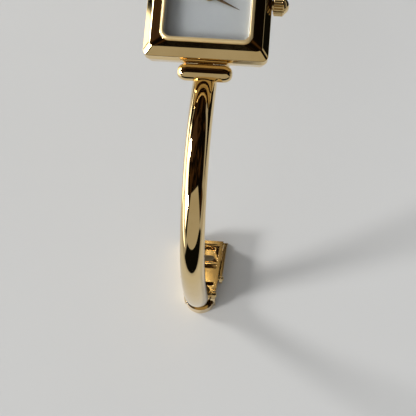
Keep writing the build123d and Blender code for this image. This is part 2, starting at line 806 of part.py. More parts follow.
with BuildPart() as crown_tube:
    with BuildSketch(across(cavity_width / 2)):
        with Locations((0, crown_z)):
            Circle(tube_radius)
            Circle(tube_bore, mode=Mode.SUBTRACT)
    extrude(amount=crown_start + crown_bore_depth - crown_gasket_thickness - cavity_width / 2 - crown_gap)
crown_tube.part.label = "crown_tube"
export_step(crown_tube.part, "parts/crown_tube.step")

with BuildPart() as winding_stem:
    with BuildSketch(across(stem_start)):
        with Locations((0, crown_z)):
            Circle(stem_radius)
    extrude(amount=crown_start + crown_bore_depth + crown_body_length / 2 - stem_start - press_gap)
    with BuildSketch(across(stem_groove_start)):
        with Locations((0, crown_z)):
            Circle(stem_radius + cut_over)
            Circle(stem_groove_radius, mode=Mode.SUBTRACT)
    extrude(amount=stem_groove_length, mode=Mode.SUBTRACT)
winding_stem.part.label = "winding_stem"
export_step(winding_stem.part, "parts/winding_stem.step")

with BuildPart() as clutch_pinion:
    with BuildSketch(across(stem_start)):
        with Locations((0, crown_z)):
            Circle(clutch_radius)
            Circle(stem_radius + press_gap, mode=Mode.SUBTRACT)
    extrude(amount=clutch_length)
clutch_pinion.part.label = "clutch_pinion"
export_step(clutch_pinion.part, "parts/clutch_pinion.step")

# Setting yoke: a fork in the stem's groove that travels with it and does not turn
with BuildPart() as setting_yoke:
    with BuildSketch(across(stem_groove_start + (stem_groove_length - yoke_leaf) / 2)):
        with Locations((yoke_length / 2 - clutch_radius, crown_z)):
            Rectangle(yoke_length, yoke_height)
        with Locations((-clutch_radius, crown_z)):
            Rectangle(2 * clutch_radius, 2 * (stem_groove_radius + stem_running_gap), mode=Mode.SUBTRACT)
        with Locations((0, crown_z)):
            Circle(stem_groove_radius + stem_running_gap, mode=Mode.SUBTRACT)
    extrude(amount=yoke_leaf)
setting_yoke.part.label = "setting_yoke"
export_step(setting_yoke.part, "parts/setting_yoke.step")


def outward(way):
    """Upright plane at a hinge, with its own x pointing away from the case and its own y pointing up."""
    return Plane(origin=(ring_x, way * hinge_reach, hinge_z), x_dir=(0, way, 0), z_dir=(way, 0, 0))


def arm(way):
    """One bangle arm: a bead that is its hinge barrel, a round rod with ball ends, and a cross bore at its tip."""
    swing = radians(arm_swing_angle)
    half_tongue = tongue_thickness / 2 + tongue_gap
    hinge_axis = Axis((ring_x, way * hinge_reach, hinge_z), (1, 0, 0))
    with BuildPart() as piece:
        route = outward(way).from_local_coords(arm_line.wires()[0])
        with BuildSketch(Plane(origin=route @ 0, z_dir=route % 0)):
            Circle(arm_radius)
        sweep(path=route)
        with Locations(route @ 0, (ring_x, way * tip_y, tip_z)):
            Sphere(arm_radius)
        with BuildSketch(Plane(origin=hinge_axis.position, x_dir=(1, 0, 0), z_dir=(0, -1, 0))):
            with BuildLine():
                half = bead_length / 2
                cheek_x = half - bead_cheek
                ThreePointArc((-cheek_x, bead_waist_radius), (0, bead_radius), (cheek_x, bead_waist_radius))
                for end in (1, -1):
                    ThreePointArc((end * cheek_x, bead_waist_radius),
                                  (end * (cheek_x + bead_cheek * cheek_reach_share),
                                   (bead_waist_radius + bead_end_radius) * cheek_height_share),
                                  (end * half, bead_end_radius))
                    Line((end * half, bead_end_radius), (end * half, 0))
                Line((-half, 0), (half, 0))
            make_face()
        revolve(axis=hinge_axis)
        with BuildSketch(outward(way)):
            Circle(eye_radius + eye_gap)
            with BuildLine():
                reach = 2 * bead_radius
                low_x = half_tongue * sin(swing)
                low_y = -half_tongue * cos(swing)
                Polyline((0, half_tongue), (-reach, half_tongue),
                         (low_x - reach * cos(swing), low_y - reach * sin(swing)),
                         (low_x, low_y), (0, half_tongue))
            make_face()
        extrude(amount=tongue_width / 2 + tongue_side_gap, both=True, mode=Mode.SUBTRACT)
        with BuildSketch(outward(way)):
            Circle(arm_pin_radius + press_gap)
            with Locations((tip_out, -tip_drop)):
                Circle(clasp_pin_radius + running_gap)
        extrude(amount=bead_length, both=True, mode=Mode.SUBTRACT)
    return piece


def hinge_pin(way):
    """The pin along a bead, through the tongue of the case."""
    with BuildPart() as piece:
        with BuildSketch(outward(way)):
            Circle(arm_pin_radius)
        extrude(amount=bead_length / 2 - arm_pin_inset, both=True)
    return piece


def tip_pin(way):
    """The pin across a socket, through the ball tip of the arm, with its ends domed outside the ears."""
    with BuildPart() as piece:
        with BuildSketch(beside(way)):
            with Locations((0, tip_z)):
                Circle(clasp_pin_radius)
        extrude(amount=socket_radius + pin_proud, both=True)
        fillet(piece.edges().filter_by(GeomType.CIRCLE), pin_dome)
    return piece


def plan(way, z):
    """Horizontal plane under an arm's tip, with its own x pointing in under the watch."""
    return Plane(origin=(ring_x, way * tip_y, z), x_dir=(0, -way, 0), z_dir=(0, 0, 1))


def beside(way):
    """Upright plane at an arm's tip, with its own x pointing in under the watch and its own y up."""
    return Plane(origin=(ring_x, way * tip_y, 0), x_dir=(0, -way, 0), z_dir=(-way, 0, 0))


def tray_half(place):
    """Half the tray's width at a distance in from the arm's tip."""
    return socket_radius + (tray_half_width - socket_radius) * place / tray_length


def tapered(start, end, margin=0):
    """Outline between two places along the tray, a margin outside its sides."""
    with BuildSketch() as outline:
        with BuildLine():
            Polyline((start, tray_half(start) + margin), (end, tray_half(end) + margin),
                     (end, -tray_half(end) - margin), (start, -tray_half(start) - margin),
                     (start, tray_half(start) + margin))
        make_face()
    return outline.sketch


def socket_ears(way):
    """Ears of a socket, raised round the pin at the arm's tip."""
    with BuildPart() as ears:
        with BuildSketch(beside(way)):
            with Locations((0, tip_z)):
                Circle(ear_radius)
            with Locations((0, tip_z / 2)):
                Rectangle(2 * ear_radius, tip_z)
        extrude(amount=socket_radius, both=True)
    return ears.part


def socket_hollow(way):
    """Hollow for the ball tip, open above, with a low rim on the far side and a bore for the pin."""
    rim_z = socket_floor + socket_rim_rise
    hollow = arm_radius + socket_gap
    with BuildPart() as space:
        with BuildSketch(plan(way, rim_z)):
            with Locations((-ear_radius - socket_radius / 2, 0)):
                Rectangle(socket_radius, 2 * socket_radius + cut_over)
        extrude(amount=tip_z)
        with BuildSketch(plan(way, socket_floor)):
            Circle(hollow)
            with Locations((socket_back / 2, 0)):
                Rectangle(socket_back, 2 * hollow)
        extrude(amount=tip_z + ear_radius)
        with BuildSketch(beside(way)):
            with Locations((0, tip_z)):
                Circle(clasp_pin_radius + press_gap)
        extrude(amount=2 * socket_radius, both=True)
    return space.part


six_arm = arm(-1)
six_arm.part.label = "six_arm"
export_step(six_arm.part, "parts/six_arm.step")

twelve_arm = arm(1)
twelve_arm.part.label = "twelve_arm"
export_step(twelve_arm.part, "parts/twelve_arm.step")

six_arm_pin = hinge_pin(-1)
six_arm_pin.part.label = "six_arm_pin"
export_step(six_arm_pin.part, "parts/six_arm_pin.step")

twelve_arm_pin = hinge_pin(1)
twelve_arm_pin.part.label = "twelve_arm_pin"
export_step(twelve_arm_pin.part, "parts/twelve_arm_pin.step")

tray_pin = tip_pin(-1)
tray_pin.part.label = "tray_pin"
export_step(tray_pin.part, "parts/tray_pin.step")

ladder_pin = tip_pin(1)
ladder_pin.part.label = "ladder_pin"
export_step(ladder_pin.part, "parts/ladder_pin.step")

# Clasp tray on the 6 o'clock tip: socket, raised plate, cross bar, and a cup that catches the ladder
tray_under_z = cover_thickness + ladder_thickness + ladder_gap
tray_floor_z = tray_under_z + tray_floor
tray_top_z = tray_floor_z + tray_wall_rise
with BuildPart() as clasp_tray:
    with BuildSketch(plan(-1, 0)):
        Circle(socket_radius)
        add(tapered(0, tray_length))
    extrude(amount=tray_top_z)
    add(socket_ears(-1))
    with BuildSketch(plan(-1, tray_floor_z)):
        add(tapered(0, tray_length - tray_wall, -tray_wall))
    extrude(amount=tip_z + ear_radius, mode=Mode.SUBTRACT)
    add(socket_ears(-1))
    with BuildSketch(beside(-1)):
        with Locations((bar_place, tray_floor_z)):
            SlotOverall(2 * bar_rise, bar_width, rotation=90)
    extrude(amount=tray_half(bar_place) - tray_wall / 2, both=True)
    with BuildSketch(beside(-1)):
        with Locations(((cover_pin_place + tray_length + cut_over) / 2,
                        (tray_under_z - cut_over) / 2)):
            Rectangle(tray_length + cut_over - cover_pin_place, tray_under_z + cut_over)
        with Locations((cover_pin_place, cover_pin_height)):
            Circle(cover_boss_radius, mode=Mode.SUBTRACT)
    extrude(amount=2 * tray_half_width, both=True, mode=Mode.SUBTRACT)
    with BuildSketch(plan(-1, cover_thickness + cup_gap)):
        with Locations((cup_place, 0)):
            RectangleRounded(cup_length, cup_width, cup_corner)
    extrude(amount=tray_floor_z - cover_thickness - cup_gap)
    with BuildSketch(plan(-1, cover_thickness + cup_gap + cup_wall)):
        with Locations((cup_place, 0)):
            RectangleRounded(cup_length - 2 * cup_wall, cup_width - 2 * cup_wall, cup_corner - cup_wall)
    extrude(amount=tray_floor_z, mode=Mode.SUBTRACT)
    add(socket_hollow(-1), mode=Mode.SUBTRACT)
    with BuildSketch(beside(-1)):
        with Locations((cover_pin_place, cover_pin_height)):
            Circle(cover_pin_radius + press_gap)
    extrude(amount=2 * tray_half_width, both=True, mode=Mode.SUBTRACT)
clasp_tray.part.label = "clasp_tray"
export_step(clasp_tray.part, "parts/clasp_tray.step")

# Clasp cover: a lid under the tray whose sides fold up outside the tray's sides
cover_outer = cover_side_gap + cover_wall
with BuildPart() as clasp_cover:
    with BuildSketch(plan(-1, 0)):
        add(tapered(cover_pin_place, tray_length, cover_outer))
    extrude(amount=cover_wall_height)
    with BuildSketch(beside(-1)):
        with Locations((cover_pin_place, cover_pin_height)):
            Circle(cover_eye_radius)
    extrude(amount=tray_half(cover_pin_place) + cover_outer, both=True)
    with BuildSketch(plan(-1, 0)):
        add(tapered(tray_length, tray_length + cover_lip, cover_outer))
    extrude(amount=cover_thickness)
    with BuildSketch(plan(-1, cover_thickness)):
        add(tapered(0, tray_length + cover_lip + cut_over, cover_side_gap))
    extrude(amount=cover_wall_height + cut_over, mode=Mode.SUBTRACT)
    with BuildSketch(plan(-1, -cut_over)):
        add(tapered(0, cover_pin_place + cover_boss_radius + cover_edge_gap, cover_side_gap))
    extrude(amount=cover_wall_height + 2 * cut_over, mode=Mode.SUBTRACT)
    with BuildSketch(beside(-1)):
        with Locations((cover_pin_place, cover_pin_height)):
            Circle(cover_pin_radius + running_gap)
    extrude(amount=2 * tray_half_width, both=True, mode=Mode.SUBTRACT)
clasp_cover.part.label = "clasp_cover"
export_step(clasp_cover.part, "parts/clasp_cover.step")

with BuildPart() as cover_pin:
    with BuildSketch(beside(-1)):
        with Locations((cover_pin_place, cover_pin_height)):
            Circle(cover_pin_radius)
    extrude(amount=tray_half(cover_pin_place) + cover_outer + pin_proud, both=True)
    fillet(cover_pin.edges().filter_by(GeomType.CIRCLE), pin_dome)
cover_pin.part.label = "cover_pin"
export_step(cover_pin.part, "parts/cover_pin.step")

# Ladder link on the 12 o'clock tip: the same socket, then a flat strip with a row of slots
with BuildPart() as ladder_link:
    with BuildSketch(plan(1, 0)):
        Circle(socket_radius)
        with Locations((socket_back / 2, 0)):
            Rectangle(socket_back, 2 * socket_radius)
    extrude(amount=socket_floor + socket_rim_rise)
    with BuildSketch(plan(1, 0)):
        with Locations(((socket_back + ladder_length) / 2, 0)):
            RectangleRounded(ladder_length - socket_back, ladder_width, slot_corner)
    extrude(amount=ladder_thickness)
    add(socket_ears(1))
    add(socket_hollow(1), mode=Mode.SUBTRACT)
    last_slot = ladder_length - ladder_end_margin - slot_length / 2
    with BuildSketch(plan(1, 0)):
        for number in range(ladder_slots):
            with Locations((last_slot - number * ladder_pitch, 0)):
                RectangleRounded(slot_length, slot_width, slot_corner)
    extrude(amount=ladder_thickness, mode=Mode.SUBTRACT)
ladder_link.part.label = "ladder_link"
export_step(ladder_link.part, "parts/ladder_link.step")
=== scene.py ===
"""Bangle watch: polished gilt surfaces, glass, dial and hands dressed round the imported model."""

import json
from math import cos, pi, radians, sin

import bmesh
import bpy
import numpy as np
from mathutils import Matrix, Vector


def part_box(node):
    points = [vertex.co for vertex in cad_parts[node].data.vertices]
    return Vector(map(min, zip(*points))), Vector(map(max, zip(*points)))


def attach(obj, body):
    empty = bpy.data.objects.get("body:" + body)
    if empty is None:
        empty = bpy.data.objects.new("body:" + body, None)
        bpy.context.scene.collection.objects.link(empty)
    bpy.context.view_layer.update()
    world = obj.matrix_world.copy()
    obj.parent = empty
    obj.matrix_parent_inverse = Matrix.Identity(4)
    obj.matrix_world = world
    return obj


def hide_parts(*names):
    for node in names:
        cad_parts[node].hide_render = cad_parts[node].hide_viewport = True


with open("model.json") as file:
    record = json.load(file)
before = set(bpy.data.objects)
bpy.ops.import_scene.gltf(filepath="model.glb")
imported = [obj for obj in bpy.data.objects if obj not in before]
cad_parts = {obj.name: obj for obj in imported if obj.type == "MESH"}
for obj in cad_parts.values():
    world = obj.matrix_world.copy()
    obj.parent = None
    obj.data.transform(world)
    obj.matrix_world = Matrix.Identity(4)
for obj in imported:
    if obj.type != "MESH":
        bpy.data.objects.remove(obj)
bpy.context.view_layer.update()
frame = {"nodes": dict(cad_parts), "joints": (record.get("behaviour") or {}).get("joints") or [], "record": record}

MM = 0.001


def joint(name):
    """A joint of the frame by its name."""
    return next(entry for entry in frame["joints"] if entry["name"] == name)


def place_of(name):
    """A joint's place in millimetres."""
    return [value / MM for value in joint(name)["pos_m"]]


def foot_of(node):
    """The lowest corner of a node's box in millimetres."""
    return [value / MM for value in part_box(node)[0]]


def size_of(node):
    """The width and the length of a node's box in millimetres."""
    low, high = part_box(node)
    return (high.x - low.x) / MM, (high.y - low.y) / MM


# Places and sizes from the frame. Here and below, sizes are in millimetres and angles in degrees
RING_X, HINGE_Y, HINGE_Z = place_of("twelve_arm_hinge")
_, TIP_Y, TIP_Z = place_of("ladder_hinge")
DIAL_Z = place_of("minute_hand_turn")[2]
CROWN_Z = place_of("crown_turn")[2]
JOINT_Z = foot_of("bezel")[2]
CASE_SIZE = size_of("bezel")
GLASS_SIZE = size_of("crystal")
CROWN_START = foot_of("crown")[0] - RING_X
HOUR_Z = foot_of("hour_hand")[2]
MINUTE_Z = foot_of("minute_hand")[2]
ARM_SWING = joint("twelve_arm_hinge")["range_deg"][1]

# Case top: rounded rectangles as width, length and corner, heights above the dial and small steps
CASE = (*CASE_SIZE, 0.95)
FLANK_HEIGHT = 1.5
FLANK_INSET = 0.92
FLANK_FOOT = 0.2
FLANK_DROP = 0.12
SIDE_COVER = 1.2
END_COVER = 1.38
UPSTAND = (CASE_SIZE[0] - 2 * SIDE_COVER, CASE_SIZE[1] - 2 * END_COVER, 1.4)
FRAME_WALL = 0.5
FRAME = (GLASS_SIZE[0] + 2 * FRAME_WALL, GLASS_SIZE[1] + 2 * FRAME_WALL, 1.4)
FRAME_FOOT = 0.62
FRAME_TOP = 1.2
FRAME_BEVEL = 0.2
SATIN_FOOT = 0.66
SATIN_REACH = 0.04
SATIN_METALLIC = 0.6
SATIN_ROUGHNESS = 0.42
GLASS = (*GLASS_SIZE, 1.05)
GLASS_GAP = 0.03
GLASS_LEDGE = 0.2
LEDGE_RISE = 0.35
GLASS_LOW = 0.5
GLASS_HIGH = 1.1
GLASS_EDGE = 0.05
GLASS_BEVEL = 0.1
MOUTH_WIDTH = 0.06
MOUTH_DEPTH = 0.09
BEZEL_ROUNDS = (0.03, 0.08, 0.12, 0.05, 0.08, 0.08, 0.05, 0.05, 0.02, 0.03, 0.03, 0.03, 0.03)
TUBE_RUN = (6.5, 9.5)
TUBE_SPACE = 0.78

# Arm, bead and pins: the arcs of the arm's line are each a radius and an angle
ARM_RADIUS = 1.72
ARM_START = 29.2
ARM_ROOT = (1.0, -1.7)
ARM_ARCS = ((51.5, 8.1), (13.9, 105.9), (45.2, 27.8))
STEPS_A_DEGREE = 1.2
FEWEST_STEPS = 24
BALL_STEPS = 14
ROD_SIDES = 72
BEAD_LENGTH = 7.7
BEAD_RADIUS = 1.22
BEAD_ROUND = 1.35
BEAD_END = 0.3
BEAD_STEPS = 81
PIN_BORE = 0.37
TIP_BORE = 0.46
EYE_SPACE = 0.8
TONGUE_HALF = 0.6
SLOT_HALF = 1.2
TIP_SLIM = 0.06
TIP_RUN = 4.5
PIN_CUT = 5
TIP_CUT = 3

# Crown: its steps are where the collar, the body, the ring and the dome end, from its start outwards
CROWN_STEPS = (0.12, 1.42, 1.57, 2.25)
CROWN_COLLAR = 1.25
CROWN_RADIUS = 1.47
CROWN_RING = 1.31
CROWN_DOME = 1.15
CROWN_BORE = (1.05, 0.75)
CROWN_SOCKET = (0.65, 0.37)
CROWN_SHOULDER = 0.1
CROWN_EDGE = 0.03
CROWN_FINE_EDGE = 0.02
CROWN_FLUTES = 22
FLUTE_DEPTH = 0.13
FLUTE_POINTS = 14
FLUTE_POWER = 5
FLUTE_FADE_SHARE = 0.6
SHOULDER_STEPS = 12
BODY_STEPS = 8
DOME_STEPS = 14
POLE = 0.02

# Hands
HAND_THICK = 0.1
HAND_TAIL = 0.95
HAND_BOSS = 0.85
HAND_POINT = 0.012
HAND_LIFT = 0.012
BELLY_SHARE = 0.3
RIM_SHARE = 0.45
RIDGE_RISE = 3.2
BOSS_EDGE = 0.03
BOSS_BEVEL = 0.04
TAIL_STEPS = 6
BELLY_STEPS = 8
POINT_STEPS = 24
WAY_CUT = 1

# Softened copies: bevel widths, the metres within which points merge, angles of flat faces and edges
CASE_BEVEL = 0.12
CLASP_BEVEL = 0.08
SAME_PLACE = 1e-6
FLAT_ANGLE = 2
EDGE_ANGLE = 40

# Where a finish has its darker and its lighter tone on the noise's scale from 0 to 1
TONE_LOW = 0.3
TONE_HIGH = 0.7


def loops(width, length, corner, height, steps=14):
    """Closed loops round rounded rectangles, one row for each set of sizes.

    Each corner is a quarter turn about its own centre, and two more points on every straight side,
    close to its ends, keep the side flat.
    """
    sizes = (width, length, corner, height)
    width, length, corner, height = (np.asarray(size, float)[:, None] for size in sizes)
    near = 0.06
    turn = np.linspace(0, pi / 2, steps + 1)[None, :]
    columns = []
    for quarter in range(4):
        way_x = (1, -1, -1, 1)[quarter]
        way_y = (1, 1, -1, -1)[quarter]
        angle = turn + quarter * pi / 2
        middle_x = way_x * (width / 2 - corner)
        middle_y = way_y * (length / 2 - corner)
        x = middle_x + corner * np.cos(angle)
        y = middle_y + corner * np.sin(angle)
        before = (x[:, :1] + near * np.sin(angle[:, :1]), y[:, :1] - near * np.cos(angle[:, :1]))
        after = (x[:, -1:] - near * np.sin(angle[:, -1:]), y[:, -1:] + near * np.cos(angle[:, -1:]))
        columns.append(np.stack([
            np.hstack([before[0], x, after[0]]), np.hstack([before[1], y, after[1]])], -1))
    flat = np.concatenate(columns, axis=1)
    tall = np.broadcast_to(height[:, :, None], (*flat.shape[:2], 1))
    return np.concatenate([flat + (RING_X, 0), tall], axis=2)


def soften(stations, rounds, steps=6):
    """A closed profile with rounded corners: each is a parabola from a point before it to one after it.

    The points lie a round away from the corner, but not past the largest share of a side. Two more, a
    little further out, keep what lies between the corners flat. A side is measured by half its step
    in width and by its step in height.
    """
    largest, guard = 0.4, 1.15
    stations = np.asarray(stations, float)
    scale = np.array([0.5, 0.0, 0.0, 1.0])
    share = np.linspace(0, 1, steps + 1)[:, None]
    rows = []
    for i, here in enumerate(stations):
        back, ahead = stations[i - 1], stations[(i + 1) % len(stations)]
        far_back = np.linalg.norm((back - here) * scale)
        far_ahead = np.linalg.norm((ahead - here) * scale)
        cut = min(rounds[i], largest * far_back, largest * far_ahead)
        start = here + (back - here) * cut / far_back
        end = here + (ahead - here) * cut / far_ahead
        curve = start * (1 - share) ** 2 + here * 2 * share * (1 - share) + end * share ** 2
        first = here + (back - here) * cut * guard / far_back
        last = here + (ahead - here) * cut * guard / far_ahead
        rows += [first[None], curve, last[None]]
    return np.concatenate(rows)


def shell(rings, closed):
    """A closed surface from rows of points, each row a loop: quads join the rows.

    The last row joins the first when closed is set, and otherwise a fan to its middle shuts each end.
    The faces are turned outwards by the sign of the volume they hold.
    """
    rows, count, _ = rings.shape
    points = rings.reshape(-1, 3)
    grid = np.arange(rows * count).reshape(rows, count)
    low, high = (grid, np.roll(grid, -1, axis=0)) if closed else (grid[:-1], grid[1:])
    quads = np.stack([low, np.roll(low, -1, 1), np.roll(high, -1, 1), high], -1).reshape(-1, 4)
    thirds = np.zeros((0, 3), int)
    if not closed:
        middles = rings[[0, -1]].mean(axis=1)
        top = len(points)
        points = np.vstack([points, middles])
        first = np.stack([np.roll(grid[0], -1), grid[0], np.full(count, top)], -1)
        last = np.stack([grid[-1], np.roll(grid[-1], -1), np.full(count, top + 1)], -1)
        thirds = np.vstack([first, last])
    flat = np.vstack([quads[:, [0, 1, 2]], quads[:, [0, 2, 3]], thirds])
    a, b, c = (points[flat[:, i]] for i in range(3))
    if np.einsum("ij,ij->i", a, np.cross(b, c)).sum() < 0:
        quads, thirds = quads[:, ::-1], thirds[:, ::-1]
    return points, quads.tolist() + thirds.tolist()


def solid(name, rings, closed=False):
    """An object with a closed surface, from rows of points in millimetres."""
    points, faces = shell(rings, closed)
    mesh = bpy.data.meshes.new(name)
    mesh.from_pydata((points * MM).tolist(), [], faces)
    mesh.update()
    made = bpy.data.objects.new(name, mesh)
    bpy.context.scene.collection.objects.link(made)
    return made


def combine(made, other, how):
    """The union or the difference of two closed objects, left on the first one; the other one goes."""
    step = made.modifiers.new("combine", "BOOLEAN")
    step.operation = how
    step.solver = "EXACT"
    step.object = other
    bpy.context.view_layer.update()
    graph = bpy.context.evaluated_depsgraph_get()
    shape = bpy.data.meshes.new_from_object(made.evaluated_get(graph))
    made.modifiers.clear()
    old = made.data
    shape.name = old.name
    made.data = shape
    bpy.data.meshes.remove(old)
    bpy.data.objects.remove(other)


def dress(made, body, nodes, finish, crease):
    """Smooth shading with creases past an angle in degrees, the finish, and the place in the frame."""
    mesh = made.data
    mesh.materials.clear()
    mesh.materials.append(finish)
    mesh.polygons.foreach_set("use_smooth", np.ones(len(mesh.polygons), bool))
    mesh.polygons.foreach_set("material_index", np.zeros(len(mesh.polygons), np.int32))
    mesh.set_sharp_from_angle(angle=radians(crease))
    mesh.update()
    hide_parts(*nodes)
    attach(made, body)


def turned(profile, place, axis, steps):
    """Rings round an axis: each pair of the profile is a distance along the axis and a radius."""
    along, radius = np.asarray(profile, float).T
    angle = np.linspace(0, 2 * pi, steps, endpoint=False)
    side = radius[:, None] * np.cos(angle), radius[:, None] * np.sin(angle)
    run = np.broadcast_to(along[:, None], side[0].shape)
    if axis == "x":
        return np.stack([run, *side], -1) + place
    return np.stack([*side, run], -1) + place


# Node tools
def material(name):
    """A new node material and its Principled shader."""
    made = bpy.data.materials.new(name)
    made.use_nodes = True
    return made, made.node_tree, made.node_tree.nodes["Principled BSDF"]


def noise(tree, size, detail, rough=0.55, stretch=(1, 1, 1)):
    """Noise on Object coordinates. Size is in features per metre."""
    where = tree.nodes.new("ShaderNodeTexCoord")
    mapping = tree.nodes.new("ShaderNodeMapping")
    mapping.inputs["Scale"].default_value = stretch
    tree.links.new(where.outputs["Object"], mapping.inputs["Vector"])
    made = tree.nodes.new("ShaderNodeTexNoise")
    made.inputs["Scale"].default_value = size
    made.inputs["Detail"].default_value = detail
    made.inputs["Roughness"].default_value = rough
    tree.links.new(mapping.outputs["Vector"], made.inputs["Vector"])
    return made


def ramp(tree, source, stops):
    """A colour ramp over a value."""
    made = tree.nodes.new("ShaderNodeValToRGB")
    points = made.color_ramp.elements
    while len(points) < len(stops):
        points.new(0.5)
    for point, (place, colour) in zip(points, stops):
        point.position = place
        point.color = (*colour, 1)
    tree.links.new(source, made.inputs["Fac"])
    return made


def spread(tree, source, low, high):
    """A value from 0 to 1 moved into a range."""
    made = tree.nodes.new("ShaderNodeMapRange")
    made.inputs["To Min"].default_value = low
    made.inputs["To Max"].default_value = high
    tree.links.new(source, made.inputs["Value"])
    return made


def bump(tree, shader, source, depth):
    """Relief of a depth in metres, at full strength."""
    made = tree.nodes.new("ShaderNodeBump")
    made.inputs["Distance"].default_value = depth
    made.inputs["Strength"].default_value = 1.0
    tree.links.new(source, made.inputs["Height"])
    tree.links.new(made.outputs["Normal"], shader.inputs["Normal"])


def metal(name, dark, light, rough, grain, depth, stretch=(1, 1, 1)):
    """A plated or plain metal: tone and gloss drift over it, and fine handling marks lie in it."""
    made, tree, shader = material(name)
    shader.inputs["Metallic"].default_value = 1.0
    cloud = noise(tree, size=260, detail=3.0)
    tone = ramp(tree, cloud.outputs["Fac"], ((TONE_LOW, dark), (TONE_HIGH, light)))
    tree.links.new(tone.outputs["Color"], shader.inputs["Base Color"])
    marks = noise(tree, size=grain, detail=6.0, rough=0.65, stretch=stretch)
    gloss = spread(tree, marks.outputs["Fac"], *rough)
    tree.links.new(gloss.outputs["Result"], shader.inputs["Roughness"])
    bump(tree, shader, marks.outputs["Fac"], depth)
    return made


def framed_gilt(name, base, foot, reach):
    """The gilt plate with a satin lacquer on the frame ring.

    Metallic and roughness pass from the polish to the satin in a straight line, from the height foot
    upwards over reach, both in metres.
    """
    made = base.copy()
    made.name = name
    tree = made.node_tree
    shader = tree.nodes["Principled BSDF"]
    where = tree.nodes.new("ShaderNodeTexCoord")
    parts = tree.nodes.new("ShaderNodeSeparateXYZ")
    tree.links.new(where.outputs["Object"], parts.inputs["Vector"])
    gloss = shader.inputs["Roughness"].links[0].from_socket
    for slot, polished, satin in (
            ("Metallic", 1.0, SATIN_METALLIC), ("Roughness", None, SATIN_ROUGHNESS)):
        step = tree.nodes.new("ShaderNodeMapRange")
        step.inputs["From Min"].default_value = foot
        step.inputs["From Max"].default_value = foot + reach
        step.inputs["To Max"].default_value = satin
        if polished is None:
            tree.links.new(gloss, step.inputs["To Min"])
        else:
            step.inputs["To Min"].default_value = polished
        tree.links.new(parts.outputs["Z"], step.inputs["Value"])
        tree.links.new(step.outputs["Result"], shader.inputs[slot])
    return made


def painted(name, dark, light, rough, grain, depth, metallic=0.0):
    """A painted or moulded surface with a faint mottle."""
    made, tree, shader = material(name)
    shader.inputs["Metallic"].default_value = metallic
    cloud = noise(tree, size=grain, detail=5.0)
    tone = ramp(tree, cloud.outputs["Fac"], ((TONE_LOW, dark), (TONE_HIGH, light)))
    tree.links.new(tone.outputs["Color"], shader.inputs["Base Color"])
    gloss = spread(tree, cloud.outputs["Fac"], *rough)
    tree.links.new(gloss.outputs["Result"], shader.inputs["Roughness"])
    bump(tree, shader, cloud.outputs["Fac"], depth)
    return made


def clear_glass(name):
    """Flat mineral glass with a faint haze: it mirrors and refracts, and casts no shadow."""
    made, tree, shader = material(name)
    shader.inputs["Transmission Weight"].default_value = 1.0
    shader.inputs["Base Color"].default_value = (0.97, 0.985, 0.98, 1)
    shader.inputs["IOR"].default_value = 1.5
    haze = noise(tree, size=1200, detail=4.0)
    gloss = spread(tree, haze.outputs["Fac"], low=0.0, high=0.04)
    tree.links.new(gloss.outputs["Result"], shader.inputs["Roughness"])
    lamp_way = tree.nodes.new("ShaderNodeBsdfTransparent")
    rays = tree.nodes.new("ShaderNodeLightPath")
    mix = tree.nodes.new("ShaderNodeMixShader")
    out = tree.nodes["Material Output"]
    tree.links.new(rays.outputs["Is Shadow Ray"], mix.inputs["Fac"])
    tree.links.new(shader.outputs["BSDF"], mix.inputs[1])
    tree.links.new(lamp_way.outputs["BSDF"], mix.inputs[2])
    tree.links.new(mix.outputs["Shader"], out.inputs["Surface"])
    return made


# Each finish: darker and lighter tone, range of gloss, grain in features per metre, relief in metres
gilt = metal("gilt_plate", (0.80, 0.60, 0.30), (0.86, 0.66, 0.35), (0.02, 0.07), 900, 1.0e-6)
# Clasp gilt: rougher, with coarser handling marks, and a paler, greyer tone that is painted light, standing in for
# the pale sheen of its faces against the deep gold of light bounced between them
gilt_worn_and_painted_pale = metal("gilt_plate_worn_painted_pale", (0.75, 0.57, 0.31), (0.84, 0.67, 0.40), (0.05, 0.15), 1400, 1.6e-6)
gilt_framed = framed_gilt("gilt_plate_satin_frame", gilt, (DIAL_Z + SATIN_FOOT) * MM, SATIN_REACH * MM)
hand_gilt = metal("hand_gilt", (0.52, 0.36, 0.19), (0.62, 0.44, 0.25), (0.18, 0.3), 3000, 1e-6)
steel = metal(
    "brushed_steel", (0.60, 0.60, 0.59), (0.68, 0.68, 0.66), (0.25, 0.42), 500, 3e-6, (14, 1, 14))
plate_brass = metal("movement_brass", (0.70, 0.58, 0.34), (0.80, 0.68, 0.42), (0.3, 0.45), 1500, 2e-6)
copper = metal("coil_wire", (0.62, 0.30, 0.15), (0.76, 0.40, 0.22), (0.25, 0.4), 2600, 6e-6, (6, 1, 1))
# Dial: white paint darkened to grey as painted shade, for the shade it lies in below the frame; a little metallic
# makes it silvery
dial_white = painted(
    "dial_silvery_white_painted_shade", (0.362, 0.376, 0.386), (0.398, 0.412, 0.422), (0.36, 0.46), 5200, 1.5e-6, 0.3)
gasket_grey = painted("gasket_rubber", (0.52, 0.51, 0.48), (0.60, 0.59, 0.56), (0.6, 0.75), 3000, 4e-6)
holder = painted("holder_plastic", (0.78, 0.78, 0.74), (0.85, 0.85, 0.81), (0.45, 0.6), 2500, 4e-6)
board_green = painted("board_lacquer", (0.06, 0.27, 0.14), (0.12, 0.36, 0.2), (0.2, 0.35), 1800, 4e-6)
glass = clear_glass("crystal_glass")

# Finish for each slot of the record, given to the carried-over pieces
FINISH = {
    "gilt": gilt, "hand_gilt": hand_gilt, "crystal_glass": glass, "gasket": gasket_grey,
    "dial_white": dial_white, "steel": steel, "movement_plate": plate_brass,
    "holder_plastic": holder, "coil_copper": copper, "board": board_green,
}
for entry in frame["record"]["subparts"]:
    carried = frame["nodes"][entry["node"]]
    finish = FINISH[entry["material_slot"]]
    if not carried.data.materials:
        carried.data.materials.append(finish)
    for place in range(len(carried.material_slots)):
        carried.material_slots[place].material = finish


